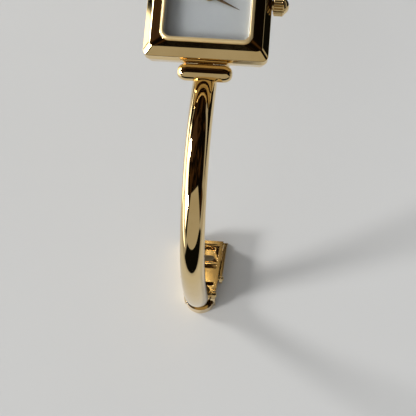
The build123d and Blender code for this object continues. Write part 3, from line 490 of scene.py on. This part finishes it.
# Case top
def bezel():
    """Rounded rectangles, each a width, a length, a corner and a height, joined into a closed band.

    They run from the flank's foot over the frame ring to the glass ledge and back under it. A round
    way for the crown tube is cut through the side.
    """
    wide, long, corner = CASE
    foot_w, foot_l, foot_c = FRAME
    glass_w, glass_l, glass_c = (v + 2 * GLASS_GAP for v in GLASS)
    under_w, under_l, under_c = (v - 2 * GLASS_LEDGE for v in GLASS)
    pocket_w, pocket_l, pocket_c = UPSTAND
    edge, top = JOINT_Z + FLANK_HEIGHT - FLANK_DROP, DIAL_Z + FRAME_TOP
    stations = [
        (wide, long, corner, JOINT_Z),
        (wide, long, corner, JOINT_Z + FLANK_FOOT),
        (wide - 2 * FLANK_INSET, long - 2 * FLANK_INSET, corner, edge),
        (foot_w, foot_l, foot_c, DIAL_Z + FRAME_FOOT),
        (foot_w, foot_l, foot_c, top - FRAME_BEVEL),
        (foot_w - 2 * FRAME_BEVEL, foot_l - 2 * FRAME_BEVEL, foot_c - FRAME_BEVEL, top),
        (glass_w + 2 * MOUTH_WIDTH, glass_l + 2 * MOUTH_WIDTH, glass_c + MOUTH_WIDTH, top),
        (glass_w, glass_l, glass_c - GLASS_GAP, top - MOUTH_DEPTH),
        (glass_w, glass_l, glass_c - GLASS_GAP, DIAL_Z + LEDGE_RISE),
        (under_w, under_l, under_c + GLASS_LEDGE, DIAL_Z + LEDGE_RISE),
        (under_w, under_l, under_c + GLASS_LEDGE, DIAL_Z),
        (pocket_w, pocket_l, pocket_c, DIAL_Z),
        (pocket_w, pocket_l, pocket_c, JOINT_Z),
    ]
    rows = soften(stations, BEZEL_ROUNDS)
    made = solid("bezel_surface", loops(*rows.T), closed=True)
    way = [(x, TUBE_SPACE) for x in TUBE_RUN]
    combine(made, solid("tube_way", turned(way, (RING_X, 0, CROWN_Z), "x", steps=48)), "DIFFERENCE")
    dress(made, "watch_head", ["bezel"], gilt_framed, crease=40)


bezel()


def crystal():
    """A slab of rounded rectangles with a small lower edge and a polished bevel round its top."""
    wide, long, corner = GLASS
    low, high = DIAL_Z + GLASS_LOW, DIAL_Z + GLASS_HIGH
    stations = np.array([
        (wide - 2 * GLASS_EDGE, long - 2 * GLASS_EDGE, corner - GLASS_EDGE, low),
        (wide, long, corner, low + GLASS_EDGE),
        (wide, long, corner, high - GLASS_BEVEL),
        (wide - 2 * GLASS_BEVEL, long - 2 * GLASS_BEVEL, corner - GLASS_BEVEL, high),
    ])
    made = solid("crystal_surface", loops(*stations.T))
    dress(made, "watch_head", ["crystal"], glass, crease=20)


crystal()


# Arms
def route():
    """Points and headings of an arm's line in its own plane: arcs that turn down one after the other."""
    heading = radians(ARM_START)
    place = np.array(ARM_ROOT)
    points = [place[None]]
    headings = [np.array([heading])]
    for radius, degrees in ARM_ARCS:
        steps = max(int(degrees * STEPS_A_DEGREE), FEWEST_STEPS)
        turn = np.linspace(0, radians(degrees), steps)[1:]
        middle = place + radius * np.array([sin(heading), -cos(heading)])
        now = heading - turn
        arc = middle + radius * np.stack([-np.sin(now), np.cos(now)], -1)
        points.append(arc)
        headings.append(now)
        place, heading = arc[-1], now[-1]
    return np.vstack(points), np.concatenate(headings)


def rod(way):
    """Circles square to the arm's line, shut by half a ball at both ends, where they shrink as a cosine.

    The radius falls by TIP_SLIM over the last TIP_RUN of the line, so that the tip is free in the clasp.
    """
    points, headings = route()
    steps = np.linalg.norm(np.diff(points, axis=0), axis=1)
    to_tip = np.append(np.cumsum(steps[::-1])[::-1], 0)
    slim = ARM_RADIUS - TIP_SLIM * np.clip(1 - to_tip / TIP_RUN, 0, 1)
    ball = np.linspace(0, pi / 2, BALL_STEPS)[1:-1]
    ends = np.stack([np.cos(headings[[0, -1]]), np.sin(headings[[0, -1]])], -1)
    before = points[0] - slim[0] * np.sin(ball[::-1])[:, None] * ends[0]
    after = points[-1] + slim[-1] * np.sin(ball)[:, None] * ends[1]
    radius = np.concatenate([slim[0] * np.cos(ball[::-1]), slim, slim[-1] * np.cos(ball)])
    points = np.vstack([before, points, after])
    headings = np.pad(headings, len(ball), "edge")
    angle = np.linspace(0, 2 * pi, ROD_SIDES, endpoint=False)
    across = radius[:, None] * np.cos(angle)
    up = radius[:, None] * np.sin(angle)
    out = points[:, :1] - up * np.sin(headings)[:, None]
    high = points[:, 1:] + up * np.cos(headings)[:, None]
    return np.stack([RING_X + across, way * (HINGE_Y + out), HINGE_Z + high], -1)


def bead_profile():
    """Places along the bead and its radius there: a straight middle, and a quarter ellipse at each end."""
    place = BEAD_LENGTH / 2 * np.sin(np.linspace(-pi / 2, pi / 2, BEAD_STEPS))
    past = np.clip((np.abs(place) - BEAD_LENGTH / 2 + BEAD_ROUND) / BEAD_ROUND, 0, 1)
    return np.stack([place, BEAD_END + (BEAD_RADIUS - BEAD_END) * np.sqrt(1 - past ** 2)], -1)


def cheek_slot(way):
    """The space that the case's tongue swings in: a round eye and a wedge towards the case."""
    swing = radians(ARM_SWING)
    reach = 2 * BEAD_RADIUS
    low = np.array([TONGUE_HALF * sin(swing), -TONGUE_HALF * cos(swing)])
    corners = np.array([
        (0, TONGUE_HALF), (-reach, TONGUE_HALF),
        low - reach * np.array([cos(swing), sin(swing)]), low])
    pair = []
    for x in (-SLOT_HALF, SLOT_HALF):
        across = np.full(len(corners), RING_X + x)
        pair.append(np.stack([across, way * (HINGE_Y + corners[:, 0]), HINGE_Z + corners[:, 1]], -1))
    return np.stack(pair)


def bar(name, half, radius, place, steps):
    """A round bar across the watch, from half its length before a place to half its length past it."""
    return solid(name, turned([(-half, radius), (half, radius)], place, "x", steps))


def arm(way, name, body, node):
    """Rod and bead in one, less the eye, the tongue's slot, the pin's bore and the bore at the tip."""
    hinge = (RING_X, way * HINGE_Y, HINGE_Z)
    tip = (RING_X, way * TIP_Y, TIP_Z)
    made = solid(name, rod(way))
    combine(made, solid("bead", turned(bead_profile(), hinge, "x", steps=96)), "UNION")
    combine(made, bar("eye", SLOT_HALF, EYE_SPACE, hinge, steps=64), "DIFFERENCE")
    combine(made, solid("slot", cheek_slot(way)), "DIFFERENCE")
    combine(made, bar("bore", PIN_CUT, PIN_BORE, hinge, steps=40), "DIFFERENCE")
    combine(made, bar("tip", TIP_CUT, TIP_BORE, tip, steps=40), "DIFFERENCE")
    dress(made, body, [node], gilt, crease=34)


arm(-1, "six_arm_surface", "six_arm_group", "six_arm")
arm(1, "twelve_arm_surface", "twelve_arm_group", "twelve_arm")


# Crown
def crown():
    """Rings round the stem's axis: the bore, the collar, the fluted body, the bright ring and the dome.

    The shoulders are quarter circles and the dome is an arc of a circle. On the body the radius dips
    by a power of a cosine at each flute, fading out at both shoulders.
    """
    bore, depth = CROWN_BORE
    socket, stem = CROWN_SOCKET
    collar, body, ring, dome = CROWN_STEPS
    shoulder, edge, fine = CROWN_SHOULDER, CROWN_EDGE, CROWN_FINE_EDGE
    arc = np.linspace(0, pi / 2, SHOULDER_STEPS)[1:-1]
    bow = (CROWN_DOME ** 2 + (dome - ring) ** 2) / (2 * (dome - ring))
    cap_r = CROWN_DOME * np.linspace(1, POLE, DOME_STEPS)
    cap_x = dome - bow + np.sqrt(bow ** 2 - cap_r ** 2)
    profile = [
        (depth + socket, POLE), (depth + socket, stem), (depth, stem), (depth, bore - fine),
        (depth - fine, bore), (edge, bore), (0.0, bore + edge), (0.0, CROWN_COLLAR - edge),
        (edge, CROWN_COLLAR), (collar, CROWN_COLLAR), (collar, CROWN_RADIUS - shoulder)]
    fall = CROWN_RADIUS - shoulder * (1 - np.sin(arc))
    profile += list(zip(collar + shoulder * (1 - np.cos(arc)), fall))
    straight = np.linspace(collar + shoulder, body - shoulder, BODY_STEPS)
    profile += [(x, CROWN_RADIUS) for x in straight]
    profile += list(zip(body - shoulder * (1 - np.cos(arc[::-1])), fall[::-1]))
    profile += [
        (body, CROWN_RADIUS - shoulder), (body, CROWN_RING + fine), (body + fine / 2, CROWN_RING),
        (ring - fine, CROWN_RING), (ring, CROWN_RING - fine), (ring, CROWN_DOME)]
    profile += list(zip(cap_x[1:], cap_r[1:]))
    along, radius = np.asarray(profile, float).T
    angle = np.linspace(0, 2 * pi, CROWN_FLUTES * FLUTE_POINTS, endpoint=False)
    fade = FLUTE_FADE_SHARE * shoulder
    on_body = np.clip((along - collar) / fade, 0, 1) * np.clip((body - along) / fade, 0, 1)
    on_body = on_body * (radius > CROWN_COLLAR)
    dip = np.abs(np.cos(angle * CROWN_FLUTES / 2)) ** FLUTE_POWER
    r = radius[:, None] - FLUTE_DEPTH * on_body[:, None] * dip
    x = np.broadcast_to(along[:, None], r.shape)
    rings = np.stack([x, r * np.cos(angle), r * np.sin(angle)], -1)
    made = solid("crown_surface", rings + (RING_X + CROWN_START, 0, CROWN_Z))
    dress(made, "crown_group", ["crown"], gilt, crease=40)


crown()


# Hands
def hand(name, body, node, long, wide, z, degrees, bore):
    """A leaf with a ridge along its middle, and a round boss with a bore for the pipe.

    The half width is even along the tail, grows in a straight line to the belly and falls in one to
    the point. The ridge stands above the rim by RIDGE_RISE times the half width, up to the full
    thickness. The angle is the clock's, in degrees from 12.
    """
    belly = long * BELLY_SHARE
    along = np.concatenate([
        np.linspace(-HAND_TAIL, 0, TAIL_STEPS), np.linspace(0, belly, BELLY_STEPS)[1:],
        np.linspace(belly, long, POINT_STEPS)[1:]])
    widest, tail = wide / 2, wide / 4
    half = np.where(along < 0, tail, np.where(
        along < belly, tail + (widest - tail) * along / belly,
        widest * (long - along) / (long * (1 - BELLY_SHARE)) + HAND_POINT))
    low = z + HAND_LIFT
    rim = z + HAND_THICK * RIM_SHARE
    ridge = z + HAND_THICK * np.clip(RIM_SHARE + half * RIDGE_RISE, RIM_SHARE, 1)
    zero = np.zeros_like(along)
    ring = [
        (-half, zero + low), (half, zero + low), (half, zero + rim), (zero, ridge), (-half, zero + rim)]
    rings = np.stack([np.stack([x, along, h], -1) for x, h in ring], 1)
    top = z + HAND_THICK
    disc = [
        (z, POLE), (z, HAND_BOSS - BOSS_EDGE), (z + BOSS_EDGE, HAND_BOSS), (top - BOSS_EDGE, HAND_BOSS),
        (top, HAND_BOSS - BOSS_BEVEL), (top, POLE)]
    turn = radians(-degrees)
    spin = np.array([[cos(turn), sin(turn), 0], [-sin(turn), cos(turn), 0], [0, 0, 1]])
    hub = (RING_X, 0, 0)
    made = solid(name, rings @ spin + hub)
    combine(made, solid("boss", turned(disc, hub, "z", steps=72)), "UNION")
    way = [(z - WAY_CUT, bore), (z + WAY_CUT, bore)]
    combine(made, solid("way", turned(way, hub, "z", steps=48)), "DIFFERENCE")
    dress(made, body, [node], hand_gilt, crease=25)


hand(
    "hour_hand_surface", "hour_group", "hour_hand",
    long=3.3, wide=0.56, z=HOUR_Z, degrees=309.6, bore=0.54)
hand(
    "minute_hand_surface", "minute_group", "minute_hand",
    long=4.85, wide=0.46, z=MINUTE_Z, degrees=115, bore=0.35)


# Carried-over pieces whose edges catch the light
def softened(node, body, finish, width):
    """A merged copy of a piece, its flat faces made whole and its edges bevelled by a width."""
    source = frame["nodes"][node]
    mesh = source.data.copy()
    mesh.name = node + "_soft"
    work = bmesh.new()
    work.from_mesh(mesh)
    bmesh.ops.remove_doubles(work, verts=work.verts, dist=SAME_PLACE)
    bmesh.ops.dissolve_limit(work, angle_limit=radians(FLAT_ANGLE), verts=work.verts, edges=work.edges)
    work.to_mesh(mesh)
    work.free()
    made = bpy.data.objects.new(node + "_soft", mesh)
    made.matrix_world = source.matrix_world
    bpy.context.scene.collection.objects.link(made)
    step = made.modifiers.new("soft_edges", "BEVEL")
    step.width = width * MM
    step.segments = 2
    step.limit_method = "ANGLE"
    step.angle_limit = radians(EDGE_ANGLE)
    step.use_clamp_overlap = True
    dress(made, body, [node], finish, crease=38)


softened("case_middle", "watch_head", gilt, CASE_BEVEL)
for clasp_piece, clasp_body in (
        ("clasp_tray", "tray_group"), ("clasp_cover", "cover_group"), ("ladder_link", "ladder_group")):
    softened(clasp_piece, clasp_body, gilt_worn_and_painted_pale, CLASP_BEVEL)


# Floor: its reach in millimetres and its two tones
FLOOR_REACH = 1600
PAPER_TONES = ((TONE_LOW, (0.595, 0.593, 0.582)), (TONE_HIGH, (0.605, 0.603, 0.592)))

# Painted reflection of the tabletop round the paper, glowing on the floor where the polish mirrors it: painted
# sunlight, grey and dark
# patches, each part over the one before: one or two ranges, with what is measured, from, to and softness, in
# metres and radians, and then the tint
FAR = 3.0
GREY = (0.39, 0.385, 0.375)
PAINTED_SUNLIGHT = (2.6, 2.55, 2.35)
DARK = (0.004, 0.004, 0.003)
PAINTED_REFLECTIONS = (
    ((("away", 0.074, FAR, 0.011),), GREY),
    ((("x", -0.19, -0.085, 0.001), ("y", -0.11, -0.03, 0.001)), PAINTED_SUNLIGHT),
    ((("x", -0.18, -0.046, 0.001), ("y", -0.024, 0.047, 0.001)), PAINTED_SUNLIGHT),
    ((("y", -FAR, -0.075, 0.002), ("turn", radians(-34), radians(57), 0.04)), DARK),
    ((("y", 0.022, FAR, 0.001), ("x", -0.06, FAR, 0.002)), DARK),
    ((("y", 0.047, FAR, 0.001), ("x", -FAR, -0.058, 0.002)), DARK),
)

# Parts of the room that the polish mirrors: turn from -Y towards +X and height, both in degrees, the
# colour, and where an edge is straight, the direction square to it
PALE = (0.38, 0.37, 0.35)
BRIGHT = (3.4, 3.4, 3.3)
ROOM = (
    ((-165, -100), (28, 62), (0.050, 0.028, 0.016), None),
    ((-42, 62), (-2, 75), (0.41, 0.385, 0.33), (0.138, -0.9, -0.42)),
    ((85, 150), (-20, 12), PALE, None),
    ((-150, -70), (-20, 4), PALE, None),
    ((-126, -112), (-20, 8), BRIGHT, None),
    ((-112, -56), (-20, 27), BRIGHT, None),
)
WALL_NOISE = 3.2
WALL_TONES = ((0.48, (0.003, 0.002, 0.001)), (0.68, (0.05, 0.024, 0.010)))
EVEN_COLOUR = (0.97, 0.985, 1.0)
EVEN_LIGHT = 0.36
TURN_SOFT = 0.04
LIFT_SOFT = 0.03
EDGE_RUN = (0.01, 2.0, 0.01)

# Camera fitted to the photograph: angles in degrees, its place from the middle of the dial in
# millimetres, and the distance of the image and the picture's width in pixels
CAMERA_TURN = 9.733
CAMERA_LIFT = 71.192
CAMERA_ROLL = -5.612
CAMERA_PLACE = (15.258, -107.614, 227.45)
IMAGE_DISTANCE = 1782.5
PICTURE_WIDTH = 416
SENSOR_WIDTH = 36


def sheet_of(name, reach, finish):
    """A square sheet at height zero that reaches as far as reach to every side, outside the watch."""
    corners = [(-reach, -reach), (reach, -reach), (reach, reach), (-reach, reach)]
    mesh = bpy.data.meshes.new(name)
    mesh.from_pydata([(x * MM, y * MM, 0) for x, y in corners], [], [(0, 1, 2, 3)])
    mesh.materials.append(finish)
    made = bpy.data.objects.new(name, mesh)
    bpy.context.scene.collection.objects.link(made)


def math_node(tree, operation, *sources):
    """The result of a sum on values that are numbers or the outputs of other nodes."""
    made = tree.nodes.new("ShaderNodeMath")
    made.operation = operation
    for place, source in enumerate(sources):
        if isinstance(source, float):
            made.inputs[place].default_value = source
        else:
            tree.links.new(source, made.inputs[place])
    return made.outputs["Value"]


def band(tree, source, low, high, soft):
    """One inside a range of a value and zero outside: a soft rise times a soft fall."""
    sides = []
    for start, end in ((low - soft, low + soft), (high + soft, high - soft)):
        step = tree.nodes.new("ShaderNodeMapRange")
        step.interpolation_type = "SMOOTHSTEP"
        step.inputs["From Min"].default_value = start
        step.inputs["From Max"].default_value = end
        tree.links.new(source, step.inputs["Value"])
        sides.append(step.outputs["Result"])
    return math_node(tree, "MULTIPLY", *sides)


def laid_over(tree, share, under, tint):
    """A tint laid over a colour by a share. With no colour under it, the tint stands alone."""
    made = tree.nodes.new("ShaderNodeMix")
    made.data_type = "RGBA"
    tree.links.new(share, made.inputs["Factor"])
    if under is None:
        made.inputs["A"].default_value = (*tint, 1)
    else:
        tree.links.new(under, made.inputs["A"])
    made.inputs["B"].default_value = (*tint, 1)
    return made.outputs["Result"]


def round_turn(tree, x, y):
    """The angle round the vertical axis, from -Y towards +X."""
    return math_node(tree, "ARCTAN2", x, math_node(tree, "MULTIPLY", y, -1.0))


def pattern(tree, where):
    """The painted reflection of the tabletop round the paper: each part's share is the product of its ranges, laid
    over the last.

    Returns the colour and the largest share. Places are measured from the middle of the paper.
    """
    parts = tree.nodes.new("ShaderNodeSeparateXYZ")
    tree.links.new(where.outputs["Object"], parts.inputs["Vector"])
    x, y = parts.outputs["X"], parts.outputs["Y"]
    away = tree.nodes.new("ShaderNodeVectorMath")
    away.operation = "LENGTH"
    tree.links.new(where.outputs["Object"], away.inputs[0])
    measured = {"x": x, "y": y, "turn": round_turn(tree, x, y), "away": away.outputs["Value"]}
    colour, share = None, None
    for ranges, tint in PAINTED_REFLECTIONS:
        inside, *others = [band(tree, measured[what], *limits) for what, *limits in ranges]
        for other in others:
            inside = math_node(tree, "MULTIPLY", inside, other)
        colour = laid_over(tree, inside, colour, tint)
        share = inside if share is None else math_node(tree, "MAXIMUM", share, inside)
    return colour, share


def floor():
    """Dull pale paper; where the polish mirrors the tabletop round it, the pattern glows in its place as a painted
    reflection.
    """
    made, tree, shader = material("floor_paper")
    cloud = noise(tree, size=22, detail=3.0)
    tone = ramp(tree, cloud.outputs["Fac"], PAPER_TONES)
    tree.links.new(tone.outputs["Color"], shader.inputs["Base Color"])
    shader.inputs["Roughness"].default_value = 0.9
    shader.inputs["Specular IOR Level"].default_value = 0.0
    where = tree.nodes.new("ShaderNodeTexCoord")
    colour, share = pattern(tree, where)
    # The painted reflection glows in place of the paper, for glossy rays only
    painted_glow = tree.nodes.new("ShaderNodeEmission")
    tree.links.new(colour, painted_glow.inputs["Color"])
    rays = tree.nodes.new("ShaderNodeLightPath")
    mix = tree.nodes.new("ShaderNodeMixShader")
    tree.links.new(math_node(tree, "MULTIPLY", rays.outputs["Is Glossy Ray"], share), mix.inputs["Fac"])
    tree.links.new(shader.outputs["BSDF"], mix.inputs[1])
    tree.links.new(painted_glow.outputs["Emission"], mix.inputs[2])
    tree.links.new(mix.outputs["Shader"], tree.nodes["Material Output"].inputs["Surface"])
    sheet_of("floor", FLOOR_REACH, made)


def room():
    """Even light for dull surfaces, and for mirrors a dark room with a few pale parts.

    A part's share is a band of turn times a band of height, and the part with a slant is also bounded
    by a flat plane through the middle.
    """
    world = bpy.data.worlds.new("room")
    bpy.context.scene.world = world
    world.use_nodes = True
    tree = world.node_tree
    even = tree.nodes["Background"]
    even.inputs["Color"].default_value = (*EVEN_COLOUR, 1)
    even.inputs["Strength"].default_value = EVEN_LIGHT
    where = tree.nodes.new("ShaderNodeTexCoord")
    parts = tree.nodes.new("ShaderNodeSeparateXYZ")
    tree.links.new(where.outputs["Generated"], parts.inputs["Vector"])
    x, y, z = (parts.outputs[axis] for axis in "XYZ")
    turn = round_turn(tree, x, y)
    lift = math_node(tree, "ARCSINE", z)
    cloud = tree.nodes.new("ShaderNodeTexNoise")
    cloud.inputs["Scale"].default_value = WALL_NOISE
    tree.links.new(where.outputs["Generated"], cloud.inputs["Vector"])
    walls = ramp(tree, cloud.outputs["Fac"], WALL_TONES)
    total = walls.outputs["Color"]
    for sides, heights, colour, edge in ROOM:
        across = band(tree, turn, *map(radians, sides), TURN_SOFT)
        inside = math_node(tree, "MULTIPLY", across, band(tree, lift, *map(radians, heights), LIFT_SOFT))
        if edge:
            below = tree.nodes.new("ShaderNodeVectorMath")
            below.operation = "DOT_PRODUCT"
            below.inputs[1].default_value = edge
            tree.links.new(where.outputs["Generated"], below.inputs[0])
            under_edge = band(tree, below.outputs["Value"], *EDGE_RUN)
            inside = math_node(tree, "MULTIPLY", inside, under_edge)
        total = laid_over(tree, inside, total, colour)
    dim = tree.nodes.new("ShaderNodeBackground")
    tree.links.new(total, dim.inputs["Color"])
    rays = tree.nodes.new("ShaderNodeLightPath")
    mix = tree.nodes.new("ShaderNodeMixShader")
    tree.links.new(rays.outputs["Is Glossy Ray"], mix.inputs["Fac"])
    tree.links.new(even.outputs["Background"], mix.inputs[1])
    tree.links.new(dim.outputs["Background"], mix.inputs[2])
    tree.links.new(mix.outputs["Shader"], tree.nodes["World Output"].inputs["Surface"])


def window(name, way, strength, degrees):
    """Far light from one direction, as wide in the sky as the angle says."""
    data = bpy.data.lights.new(name, "SUN")
    data.energy = strength
    data.angle = radians(degrees)
    made = bpy.data.objects.new(name, data)
    made.rotation_mode = "QUATERNION"
    made.rotation_quaternion = Vector(way).to_track_quat("Z", "Y")
    bpy.context.scene.collection.objects.link(made)


def lamp(name, place, target, size, power):
    """A rectangular lamp that faces a target and that the polish does not mirror."""
    data = bpy.data.lights.new(name, "AREA")
    data.shape = "RECTANGLE"
    data.size, data.size_y = size
    data.energy = power
    made = bpy.data.objects.new(name, data)
    made.location = place
    made.rotation_mode = "QUATERNION"
    made.rotation_quaternion = (Vector(target) - Vector(place)).to_track_quat("-Z", "Y")
    made.visible_glossy = False
    bpy.context.scene.collection.objects.link(made)


floor()
room()
window("left_window", (-0.54, -0.27, 0.26), 2.4, 12.0)
window("rear_window", (-0.56, 0.22, 0.26), 1.85, 15.0)
lamp("soft_fill", (-0.40, -0.50, 0.75), (0, 0, 0.01), (0.6, 0.6), 1.3)


def camera():
    """The photograph's camera, fitted to the case, the arm and the clasp.

    Its back points from the watch to the lens, turned round the vertical and lifted. The picture's
    right and up are rolled about it.
    """
    turn, lift, roll = radians(CAMERA_TURN), radians(CAMERA_LIFT), radians(CAMERA_ROLL)
    back = Vector((cos(lift) * sin(turn), -cos(lift) * cos(turn), sin(lift)))
    right = Vector((cos(turn), sin(turn), 0))
    up = back.cross(right)
    turned_right = right * cos(roll) + up * sin(roll)
    turned_up = up * cos(roll) - right * sin(roll)
    data = bpy.data.cameras.new("camera")
    data.sensor_width = SENSOR_WIDTH
    data.lens = IMAGE_DISTANCE * SENSOR_WIDTH / PICTURE_WIDTH
    data.clip_start = 0.01
    data.clip_end = 20
    made = bpy.data.objects.new("camera", data)
    middle = Vector((RING_X, 0, DIAL_Z)) * MM
    matrix = Matrix((turned_right, turned_up, back)).transposed().to_4x4()
    matrix.translation = middle + Vector(CAMERA_PLACE) * MM
    made.matrix_world = matrix
    bpy.context.scene.collection.objects.link(made)
    bpy.context.scene.camera = made


camera()
bpy.context.scene.view_settings.view_transform = "Standard"
